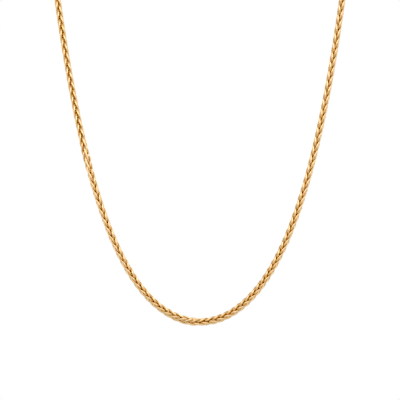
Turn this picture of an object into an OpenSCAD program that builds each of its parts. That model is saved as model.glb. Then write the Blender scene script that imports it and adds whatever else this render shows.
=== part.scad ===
// Wheat chain necklace, kept in the form that it takes round a neck. Millimetres.
// The origin is at the nape, the front of the necklace faces -Y and +Z is up.
//
// The whole loop lies on one thin sheet, which leans back over the chest and then bends back over
// the neck. On that sheet the front stretch is a catenary, and half an oval goes round the nape.

/* [Chain] */
// Width of the chain at the sides, where it hangs taut
side_w = 2.6; // [2.0:0.1:2.8]
// Width of the chain in the bend at the bottom, where its links close up
bend_w = 3; // [2.0:0.1:3.6]
// Height above the lowest point at which the chain has lost most of that extra width
bend_reach = 30; // [15:1:60]

/* [Loop] */
// Radius of the bend at the lowest point
bend_r = 19.6; // [14:0.1:26]
// Distance between the two strands where they pass the sides of the neck
strand_spread = 106; // [80:0.5:130]
// Angle by which the front stretch leans back from upright
chest_lean = 20.4; // [10:0.1:40]
// How much further the loop reaches from there to the nape, along the sheet
nape_reach = 45.5; // [30:0.5:70]

/* [Clasp and rings] */
// Radius of the clasp, at the middle of its tube
clasp_r = 2.4; // [2:0.1:4]
// Radius of the clasp's tube
clasp_tube_r = 0.65; // [0.5:0.05:0.8]
// Radius of each eye, at the middle of its wire
eye_r = 0.85; // [0.8:0.05:1.2]
// Radius of the end rings, at the middle of their wire
ring_r = 1.6; // [1.6:0.05:2.2]
// Radius of the wire of the eyes and of the end rings
wire_r = 0.3; // [0.25:0.05:0.3]
// Outer radius of the end caps
cap_r = 2; // [1.9:0.05:2.3]
// Wall of the end caps
cap_wall = 0.3; // [0.2:0.05:0.3]
// Length of the end caps
cap_len = 3.6; // [2.5:0.1:5]

/* [Hidden] */

GOLD = [0.87, 0.68, 0.32];
$fn = 64;

// Room left between pieces that hold each other
play = 0.15;
// Floor of the end caps, and the edge taken off their far rim
cap_floor = 0.5;
cap_edge = 0.15;
// Sides of the chain's solid, and its steps along the front and round the nape
chain_sides = 8;
front_steps = 27;
nape_steps = 12;

function sinh(a) = (exp(a) - exp(-a)) / 2;
function cosh(a) = (exp(a) + exp(-a)) / 2;
function asinh(a) = ln(a + sqrt(a * a + 1));

// The catenary ends at the sides of the neck, and the oval goes on from there at the same slope.
half_spread = strand_spread / 2;
front_slope = sinh(half_spread / bend_r);
front_rise = bend_r * (cosh(half_spread / bend_r) - 1);
front_len = bend_r * front_slope;
oval_ratio = nape_reach / (half_spread * front_slope);
oval_start = asin((1 - sqrt(1 + 4 * oval_ratio * oval_ratio)) / (2 * oval_ratio));
oval_half_w = half_spread / cos(oval_start);

// The sheet bends evenly from the chest's lean to level at the nape.
nape_rise = nape_reach * (1 - sin(oval_start));
sheet_r = nape_rise / ((90 - chest_lean) * PI / 180);

// Distances between the middles of two pieces, where a ring holds a wire or the clasp's tube
wire_seat = ring_r - 2 * wire_r - play;
tube_seat = ring_r - wire_r - play - clasp_tube_r;

// The clasp and its rings, laid out so that the two caps hang equally far from the middle
left_reach = clasp_r + clasp_tube_r + 2 * eye_r + 2 * wire_seat;
right_reach = clasp_r + tube_seat + wire_seat;
clasp_x = (left_reach - right_reach) / 2;
cap_x = (left_reach + right_reach) / 2;
ring_x = cap_x - wire_seat;

// Each cap lies along the oval, which passes through the middle of its cup.
cup_start = 2 * eye_r;
cup_mid_x = cap_x + cup_start + cap_len / 2;
cup_mid_a = acos(cup_mid_x / oval_half_w);
cap_turn = atan(nape_reach / oval_half_w / tan(cup_mid_a));
chain_end_a = acos((cap_x + (cup_start + cap_floor + play) * cos(cap_turn)) / oval_half_w);

// The lean of the sheet at height v, measured along it from the lowest point of the loop
function lean(v) = chest_lean + max(0, v - front_rise) / sheet_r * 180 / PI;
// The directions up the sheet and out of its front
function up(v) = [0, sin(lean(v)), cos(lean(v))];
function out(v) = [0, -cos(lean(v)), sin(lean(v))];
// The point that lies x across the sheet and v up it
function on_sheet(x, v) =
    [x, 0, 0] + sheet_r * (out(v) - [0, 0, 1]) + min(0, v - front_rise) * up(v);

// A step along the right strand: x and v on the sheet, then the strand's direction on it
function front_step(s) = let (k = sqrt(s * s + bend_r * bend_r))
    [bend_r * asinh(s / bend_r), k - bend_r, bend_r / k, s / k];
function nape_step(a) =
    let (dx = -oval_half_w * sin(a), dv = nape_reach * cos(a), n = sqrt(dx * dx + dv * dv))
    [oval_half_w * cos(a), front_rise + nape_reach * (sin(a) - sin(oval_start)), dx / n, dv / n];

// Steps are closer together in the bend at the bottom.
function strand_steps() = concat(
    [for (i = [0 : front_steps]) let (t = i / front_steps)
        front_step(play / 2 + (front_len - play / 2) * t * (0.75 + 0.25 * t))],
    [for (i = [1 : nape_steps])
        nape_step(oval_start + (chain_end_a - oval_start) * i / nape_steps)]);

function chain_width(v) = side_w + (bend_w - side_w) * exp(-pow(v / bend_reach, 2));

// The chain's outline at one step, with flats to the front, the back and the two sides
function outline(step) =
    let (v = step[1], across = [step[3], 0, 0] - step[2] * up(v),
         r = chain_width(v) / 2 / cos(180 / chain_sides))
    [for (i = [0 : chain_sides - 1]) let (a = 360 * (i + 0.5) / chain_sides)
        on_sheet(step[0], v) + r * (cos(a) * across + sin(a) * out(v))];

module right_strand() {
    steps = strand_steps();
    last = len(steps) - 1;
    n = chain_sides;
    walls = [for (j = [0 : last - 1], i = [0 : n - 1])
        [j * n + i, j * n + (i + 1) % n, (j + 1) * n + (i + 1) % n, (j + 1) * n + i]];
    start = [for (i = [n - 1 : -1 : 0]) i];
    end = [for (i = [0 : n - 1]) last * n + i];
    polyhedron([for (step = steps) each outline(step)], concat(walls, [start, end]));
}

module wire_ring(r, wire) {
    rotate_extrude() translate([r, 0]) circle(wire);
}

module chain_left() {
    color(GOLD) mirror([1, 0, 0]) right_strand();
}

module chain_right() {
    color(GOLD) right_strand();
}

module right_cap() {
    cup_y = -nape_reach * (1 - sin(cup_mid_a));
    translate([cup_mid_x, cup_y, 0]) rotate([0, 0, -cap_turn]) translate([-cap_len / 2, 0, 0]) {
        rotate([0, 90, 0]) rotate_extrude() polygon([
            [0, 0], [cap_r - cap_floor, 0], [cap_r, cap_floor], [cap_r, cap_len - cap_edge],
            [cap_r - cap_edge, cap_len], [cap_r - cap_wall, cap_len],
            [cap_r - cap_wall, cap_floor], [0, cap_floor]]);
        translate([-eye_r, 0, 0]) rotate([90, 0, 0]) wire_ring(eye_r, wire_r);
    }
}

module end_cap_left() {
    color(GOLD) mirror([1, 0, 0]) right_cap();
}

module end_cap_right() {
    color(GOLD) right_cap();
}

module end_ring_left() {
    color(GOLD) translate([-ring_x, 0, 0]) wire_ring(ring_r, wire_r);
}

module end_ring_right() {
    color(GOLD) translate([ring_x, 0, 0]) wire_ring(ring_r, wire_r);
}

module clasp() {
    color(GOLD) translate([clasp_x, 0, 0]) rotate([90, 0, 0]) {
        wire_ring(clasp_r, clasp_tube_r);
        translate([-clasp_r - clasp_tube_r - eye_r, 0, 0]) wire_ring(eye_r, wire_r);
    }
}

chain_left();
chain_right();
end_cap_left();
end_cap_right();
end_ring_left();
end_ring_right();
clasp();
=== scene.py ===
"""Wheat chain necklace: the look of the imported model, in metres, with the origin at the nape.

The chain's two plain tubes are replaced by its real links. Each link is an oval of wire, twisted a
quarter turn, that passes through the three links before it and the three after it. Links twisted
left and right take turns. They are first worked out on a straight chain, in chain widths, and then
laid along the necklace's route.
"""

import math

import bpy
import numpy as np
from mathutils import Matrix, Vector


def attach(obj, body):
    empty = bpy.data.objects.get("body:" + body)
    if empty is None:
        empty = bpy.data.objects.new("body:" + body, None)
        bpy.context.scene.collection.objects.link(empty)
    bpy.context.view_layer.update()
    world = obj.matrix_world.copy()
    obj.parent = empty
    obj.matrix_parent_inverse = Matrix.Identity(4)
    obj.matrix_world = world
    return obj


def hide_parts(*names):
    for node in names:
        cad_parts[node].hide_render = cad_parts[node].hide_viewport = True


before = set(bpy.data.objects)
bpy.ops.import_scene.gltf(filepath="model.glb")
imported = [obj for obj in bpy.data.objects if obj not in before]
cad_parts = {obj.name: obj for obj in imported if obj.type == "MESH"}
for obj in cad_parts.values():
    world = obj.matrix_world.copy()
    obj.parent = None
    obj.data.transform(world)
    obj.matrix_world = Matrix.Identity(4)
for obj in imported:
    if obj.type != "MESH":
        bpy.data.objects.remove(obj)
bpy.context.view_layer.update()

MM = 0.001

# The route, with the same sizes as the tubes that the links replace
BEND_R = 19.6 * MM
HALF_SPREAD = 53.0 * MM
CHEST_LEAN = math.radians(20.4)
NAPE_REACH = 45.5 * MM
CHAIN_END_X = 7.43 * MM
ROUTE_SAMPLES = 4000

# The link on a straight chain, in chain widths
LINK_STEP = 0.68
WIRE_D = 0.277
LINK_HALF_LEN = 1.22
LINK_HALF_W = 0.44
# How far the links' outermost points lie from the chain's middle line
CORNER_R = 0.58

# The link's form, as shares of its own sizes: how far it widens towards its tips, or narrows below
# 0, how unevenly it twists over its whole length and over each half, and how square its ends are
LINK_PINCH = -0.112
LINK_TWIST_EASE = -0.287
LINK_TWIST_EASE_MID = 0.793
LINK_SHOULDER = 0.241

# The steps of the mesh along a link and round its wire
LINK_SEGMENTS = 48
WIRE_SIDES = 14

# The chain's width and the step from link to link: closed up in the bend, drawn out at the sides
TAUT_W = 2.45 * MM
BEND_W = 2.7 * MM
TAUT_STEP = 1.906 * MM
BEND_STEP = 1.42 * MM
BEND_MIDDLE = 7 * MM
BEND_REACH = 46 * MM

# Quarter turns of the whole chain about its own line: the middle of each, and half its length
TURN_IN = (-82.5 * MM, 5.6 * MM)
TURN_OUT = (-3.0 * MM, 5.6 * MM)
# Turn of the rest of the chain, away from square to the front
TURN_BASE = math.radians(2)


def front_v(x):
    """Height on the sheet of the front stretch, a catenary."""
    return BEND_R * (np.cosh(x / BEND_R) - 1)


FRONT_RISE = float(front_v(HALF_SPREAD))
FRONT_SLOPE = math.sinh(HALF_SPREAD / BEND_R)
OVAL_RATIO = NAPE_REACH / (HALF_SPREAD * FRONT_SLOPE)
OVAL_START = math.asin((1 - math.sqrt(1 + 4 * OVAL_RATIO**2)) / (2 * OVAL_RATIO))
OVAL_HALF_W = HALF_SPREAD / math.cos(OVAL_START)
SHEET_R = NAPE_REACH * (1 - math.sin(OVAL_START)) / (math.pi / 2 - CHEST_LEAN)


def sheet(x, v):
    """Points x across the sheet and v up it, with the direction out of its front."""
    lean = CHEST_LEAN + np.maximum(0, v - FRONT_RISE) / SHEET_R
    zero = np.zeros_like(lean)
    up = np.stack([zero, np.sin(lean), np.cos(lean)], 1)
    out = np.stack([zero, -np.cos(lean), np.sin(lean)], 1)
    flat = np.minimum(0, v - FRONT_RISE)[:, None] * up
    point = SHEET_R * (out - [0, 0, 1]) + flat
    point[:, 0] = x
    return point, out


def route():
    """The chain's middle line from its left end to its right: distance, points and sheet front."""
    x = np.linspace(0, HALF_SPREAD, ROUTE_SAMPLES)
    v = front_v(x)
    angle = np.linspace(OVAL_START, math.acos(CHAIN_END_X / OVAL_HALF_W), ROUTE_SAMPLES)[1:]
    x = np.concatenate([x, OVAL_HALF_W * np.cos(angle)])
    v = np.concatenate([v, FRONT_RISE + NAPE_REACH * (np.sin(angle) - math.sin(OVAL_START))])
    point, out = sheet(x, v)
    s = np.concatenate([[0], np.cumsum(np.linalg.norm(np.diff(point, axis=0), axis=1))])
    mirror = np.array([-1, 1, 1])
    s = np.concatenate([-s[:0:-1], s])
    point = np.concatenate([point[:0:-1] * mirror, point])
    out = np.concatenate([out[:0:-1], out])
    return s, point, out


def closeness(s):
    """1 in the middle of the bend, falling to 0 along the sides."""
    return np.exp(-(((s - BEND_MIDDLE) / BEND_REACH) ** 2))


def chain_turn(s):
    """Angle of the chain about its own line: a quarter turn between the two places."""
    rise = np.tanh((s - TURN_IN[0]) / TURN_IN[1])
    fall = np.tanh((s - TURN_OUT[0]) / TURN_OUT[1])
    return TURN_BASE + math.pi / 4 * (rise - fall)


class Lay:
    """Lays points of the straight chain along the route. Their place along the chain is counted in
    links, and their offsets in chain widths."""

    def __init__(self):
        self.s, self.point, self.out = route()
        rate = 1 / (TAUT_STEP + (BEND_STEP - TAUT_STEP) * closeness(self.s))
        count = np.cumsum(np.diff(self.s) * (rate[1:] + rate[:-1]) / 2)
        count = np.concatenate([[0], count])
        self.count = count - np.interp(0, self.s, count)
        along = np.gradient(self.point, self.s, axis=0)
        self.along = along / np.linalg.norm(along, axis=1)[:, None]

    def at(self, table, s):
        return np.stack([np.interp(s, self.s, column) for column in table.T], 1)

    def __call__(self, offsets, link):
        s = np.interp(link, self.count, self.s)
        width = TAUT_W + (BEND_W - TAUT_W) * closeness(s)
        turn = chain_turn(s)
        x = (offsets[:, 0] * np.cos(turn) - offsets[:, 1] * np.sin(turn)) * width
        y = (offsets[:, 0] * np.sin(turn) + offsets[:, 1] * np.cos(turn)) * width
        back = -self.at(self.out, s)
        side = np.cross(back, self.at(self.along, s))
        return self.at(self.point, s) + x[:, None] * side + y[:, None] * back


def link_line(hand):
    """The middle line of one link's wire. Its tips lie across the chain's depth at the bottom and
    across its width at the top, and hand says to which side it twists."""
    t = np.arange(LINK_SEGMENTS) / LINK_SEGMENTS
    cos = np.cos(2 * np.pi * t)
    radius = LINK_HALF_W * np.sin(2 * np.pi * t) * (1 + LINK_PINCH * cos**4)
    way = 1 - np.abs(1 - 2 * t)
    eased = way + LINK_TWIST_EASE * np.sin(2 * np.pi * way) / (2 * np.pi)
    eased += LINK_TWIST_EASE_MID * np.sin(4 * np.pi * way) / (4 * np.pi)
    angle = (eased - 1) * np.pi / 2
    height = -LINK_HALF_LEN * (cos + LINK_SHOULDER * (cos - cos**3))
    return np.stack([hand * radius * np.cos(angle), radius * np.sin(angle), height], 1)


def wire_around(line):
    """A closed wire around a line: its vertices, ring after ring."""
    along = np.roll(line, -1, 0) - np.roll(line, 1, 0)
    along /= np.linalg.norm(along, axis=1)[:, None]
    outward = line - line.mean(0)
    outward -= (outward * along).sum(1)[:, None] * along
    outward /= np.linalg.norm(outward, axis=1)[:, None]
    across = np.cross(along, outward)
    a = 2 * np.pi * np.arange(WIRE_SIDES) / WIRE_SIDES
    ring = np.cos(a)[None, :, None] * outward[:, None] + np.sin(a)[None, :, None] * across[:, None]
    return (line[:, None] + WIRE_D / 2 * ring).reshape(-1, 3)


def link_faces():
    ring, side = np.meshgrid(np.arange(LINK_SEGMENTS), np.arange(WIRE_SIDES), indexing="ij")
    next_ring = (ring + 1) % LINK_SEGMENTS
    next_side = (side + 1) % WIRE_SIDES
    corners = [
        ring * WIRE_SIDES + side,
        ring * WIRE_SIDES + next_side,
        next_ring * WIRE_SIDES + next_side,
        next_ring * WIRE_SIDES + side,
    ]
    return np.stack(corners, -1).reshape(-1, 4)


def mesh_object(name, vertices, faces, material):
    mesh = bpy.data.meshes.new(name)
    mesh.from_pydata(vertices.tolist(), [], faces.tolist())
    mesh.shade_smooth()
    mesh.materials.append(material)
    piece = bpy.data.objects.new(name, mesh)
    bpy.context.scene.collection.objects.link(piece)
    return piece


def chain_half(name, links, lay, wires, material):
    """One half of the chain as a mesh of loose, interlocking links, which knows how deep in the
    chain each of its points lies."""
    vertices = []
    for k in links:
        wire = wires[k % 2]
        vertices.append(lay(wire[:, :2], k + wire[:, 2] / LINK_STEP))
    faces = link_faces()
    size = LINK_SEGMENTS * WIRE_SIDES
    faces = np.concatenate([faces + i * size for i in range(len(vertices))])
    piece = mesh_object(name, np.concatenate(vertices), faces, material)
    depth = [1 - np.hypot(wires[k % 2][:, 0], wires[k % 2][:, 1]) / CORNER_R for k in links]
    values = piece.data.attributes.new("depth", "FLOAT", "POINT").data
    values.foreach_set("value", np.concatenate(depth))
    return piece


# The gold: warm and polished, with faint clouding, and painted shade: a darker tone down between
# the links, where shade falls. The scales of the clouds and of the scratches are spots per metre.
GOLD_BRIGHT = (0.96, 0.74, 0.48, 1)
GOLD_CLOUDED = (0.93, 0.65, 0.33, 1)
GOLD_PAINTED_SHADE = (0.82, 0.46, 0.22, 1)
PAINTED_SHADE_FROM = 0.3
PAINTED_SHADE_TO = 0.75
CLOUD_SCALE = 450
CLOUD_DETAIL = 3

# Its fine scratches, which also make it rougher, from the noise's lower values to its higher ones
SCRATCH_SCALE = 2600
SCRATCH_DETAIL = 6
SCRATCH_GRAIN = 0.7
SCRATCH_STRETCH = (1, 1, 0.12)
SCRATCH_LOW = 0.35
SCRATCH_HIGH = 0.7
SCRATCH_DEPTH = 0.004 * MM
SCRATCH_STRENGTH = 0.3
SHINE_BEST = 0.07
SHINE_WORN = 0.15


def gold(name):
    material = bpy.data.materials.new(name)
    material.use_nodes = True
    nodes = material.node_tree.nodes
    links = material.node_tree.links
    shader = nodes["Principled BSDF"]
    shader.inputs["Metallic"].default_value = 1
    place = nodes.new("ShaderNodeTexCoord")

    cloud = nodes.new("ShaderNodeTexNoise")
    cloud.inputs["Scale"].default_value = CLOUD_SCALE
    cloud.inputs["Detail"].default_value = CLOUD_DETAIL
    links.new(place.outputs["Object"], cloud.inputs["Vector"])
    tint = nodes.new("ShaderNodeMix")
    tint.data_type = "RGBA"
    tint.inputs["A"].default_value = GOLD_CLOUDED
    tint.inputs["B"].default_value = GOLD_BRIGHT
    links.new(cloud.outputs["Fac"], tint.inputs["Factor"])
    # Painted shade: the deeper a point lies between the links, the darker its gold
    depth = nodes.new("ShaderNodeAttribute")
    depth.attribute_name = "depth"
    painted_shade = nodes.new("ShaderNodeMapRange")
    painted_shade.interpolation_type = "SMOOTHSTEP"
    painted_shade.inputs["From Min"].default_value = PAINTED_SHADE_FROM
    painted_shade.inputs["From Max"].default_value = PAINTED_SHADE_TO
    links.new(depth.outputs["Fac"], painted_shade.inputs["Value"])
    shaded_colour = nodes.new("ShaderNodeMix")
    shaded_colour.data_type = "RGBA"
    shaded_colour.inputs["B"].default_value = GOLD_PAINTED_SHADE
    links.new(painted_shade.outputs["Result"], shaded_colour.inputs["Factor"])
    links.new(tint.outputs["Result"], shaded_colour.inputs["A"])
    links.new(shaded_colour.outputs["Result"], shader.inputs["Base Color"])

    stretch = nodes.new("ShaderNodeMapping")
    stretch.inputs["Scale"].default_value = SCRATCH_STRETCH
    links.new(place.outputs["Object"], stretch.inputs["Vector"])
    scratches = nodes.new("ShaderNodeTexNoise")
    scratches.inputs["Scale"].default_value = SCRATCH_SCALE
    scratches.inputs["Detail"].default_value = SCRATCH_DETAIL
    scratches.inputs["Roughness"].default_value = SCRATCH_GRAIN
    links.new(stretch.outputs["Vector"], scratches.inputs["Vector"])
    wear = nodes.new("ShaderNodeMapRange")
    wear.inputs["From Min"].default_value = SCRATCH_LOW
    wear.inputs["From Max"].default_value = SCRATCH_HIGH
    wear.inputs["To Min"].default_value = SHINE_BEST
    wear.inputs["To Max"].default_value = SHINE_WORN
    links.new(scratches.outputs["Fac"], wear.inputs["Value"])
    links.new(wear.outputs["Result"], shader.inputs["Roughness"])
    relief = nodes.new("ShaderNodeBump")
    relief.inputs["Strength"].default_value = SCRATCH_STRENGTH
    relief.inputs["Distance"].default_value = SCRATCH_DEPTH
    links.new(scratches.outputs["Fac"], relief.inputs["Height"])
    links.new(relief.outputs["Normal"], shader.inputs["Normal"])
    return material


# The camera: level, square to the front, and far enough away to see the whole loop alike. The
# loop's middle lies across the picture at MIDDLE_PIXEL_X, and its lowest point at LOWEST_PIXEL_Y.
MM_PER_PIXEL = 0.3683 * MM
CAMERA_DISTANCE = 4.0
PICTURE_SIDE = 400
MIDDLE_PIXEL_X = 199.86
LOWEST_PIXEL_Y = 321.93
lowest, _ = sheet(np.zeros(1), np.zeros(1))
camera_data = bpy.data.cameras.new("camera")
camera_data.lens = camera_data.sensor_width * CAMERA_DISTANCE / (PICTURE_SIDE * MM_PER_PIXEL)
camera = bpy.data.objects.new("camera", camera_data)
camera.location = (
    (PICTURE_SIDE / 2 - MIDDLE_PIXEL_X) * MM_PER_PIXEL,
    lowest[0, 1] - CAMERA_DISTANCE,
    lowest[0, 2] + (LOWEST_PIXEL_Y - PICTURE_SIDE / 2) * MM_PER_PIXEL,
)
camera.rotation_euler = (math.pi / 2, 0, 0)
bpy.context.scene.collection.objects.link(camera)
bpy.context.scene.camera = camera

# The chain
chain_gold = gold("chain_gold")
lay = Lay()
wires = [wire_around(link_line(1)), wire_around(link_line(-1))]
reach = (LINK_HALF_LEN + WIRE_D / 2) / LINK_STEP
first = math.ceil(lay.count[0] + reach)
last = math.floor(lay.count[-1] - reach)
left = chain_half("wheat_links_left", range(first, 0), lay, wires, chain_gold)
right = chain_half("wheat_links_right", range(0, last + 1), lay, wires, chain_gold)
for piece, node in ((left, "chain_left"), (right, "chain_right")):
    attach(piece, "root")
    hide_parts(node)

# The fittings at the nape keep their shapes
fittings_gold = gold("fittings_gold")
for node in ("end_cap_left", "end_cap_right", "end_ring_left", "end_ring_right", "clasp"):
    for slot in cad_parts[node].material_slots:
        slot.material = fittings_gold

# The floor, pale and plain, below the necklace and out of the photograph's view
FLOOR_HALF = 3.0
FLOOR_Z = -0.35
PAPER_COLOUR = (0.75, 0.75, 0.74, 1)
paper = bpy.data.materials.new("paper")
paper.use_nodes = True
paper.node_tree.nodes["Principled BSDF"].inputs["Base Color"].default_value = PAPER_COLOUR
square = np.array([(-1, -1, 0), (1, -1, 0), (1, 1, 0), (-1, 1, 0)])
floor = mesh_object("floor", square * FLOOR_HALF + [0, 0, FLOOR_Z], np.array([(0, 1, 2, 3)]), paper)

# The surroundings: white where the camera sees them, and a grey room where the gold mirrors them
ROOM_GREY = 0.5
world = bpy.data.worlds.new("world")
bpy.context.scene.world = world
world.use_nodes = True
nodes = world.node_tree.nodes
links = world.node_tree.links
room = nodes["Background"]
room.inputs["Color"].default_value = (ROOM_GREY, ROOM_GREY, ROOM_GREY, 1)
seen = nodes.new("ShaderNodeBackground")
seen.inputs["Color"].default_value = (1, 1, 1, 1)
path = nodes.new("ShaderNodeLightPath")
mix = nodes.new("ShaderNodeMixShader")
links.new(path.outputs["Is Camera Ray"], mix.inputs["Fac"])
links.new(room.outputs["Background"], mix.inputs[1])
links.new(seen.outputs["Background"], mix.inputs[2])
links.new(mix.outputs["Shader"], nodes["World Output"].inputs["Surface"])

# Soft lights all round, each with its azimuth, height, width and tallness in degrees and its
# brightness. Azimuth 0 is the camera's side and 90 the picture's right.
LIGHT_DISTANCE = 2.6
LIGHT_TARGET = Vector((0, -0.05, -0.07))
SOFTBOXES = {
    "key": (0, 45, 60, 30, 1.4),
    "front": (0, 15, 45, 30, 0.35),
    "right": (90, 13, 45, 34, 0.9),
    "left": (270, 13, 45, 34, 0.6),
    "back_left": (225, 13, 45, 34, 0.9),
    "back_right_high": (120, 45, 60, 30, 1.2),
    "back_high": (180, 45, 60, 30, 1.3),
}


def softbox(name, azimuth, height, width, tall, brightness):
    """A lit panel of that many degrees across and up, facing the necklace."""
    data = bpy.data.lights.new(name, "AREA")
    data.shape = "RECTANGLE"
    data.size = 2 * LIGHT_DISTANCE * math.tan(math.radians(width / 2))
    data.size_y = 2 * LIGHT_DISTANCE * math.tan(math.radians(tall / 2))
    data.energy = brightness * math.pi * data.size * data.size_y
    lamp = bpy.data.objects.new(name, data)
    a = math.radians(azimuth)
    e = math.radians(height)
    away = Vector((math.cos(e) * math.sin(a), -math.cos(e) * math.cos(a), math.sin(e)))
    lamp.location = LIGHT_TARGET + LIGHT_DISTANCE * away
    lamp.rotation_euler = away.to_track_quat("Z", "Y").to_euler()
    lamp.visible_camera = False
    bpy.context.scene.collection.objects.link(lamp)


for name, settings in SOFTBOXES.items():
    softbox(name, *settings)

# The photograph's contrast: its darkest tones are pulled down to black
BLACK_POINT = 0.07
view = bpy.context.scene.view_settings
view.view_transform = "Standard"
view.use_curve_mapping = True
view.curve_mapping.black_level = (BLACK_POINT, BLACK_POINT, BLACK_POINT)
view.curve_mapping.update()
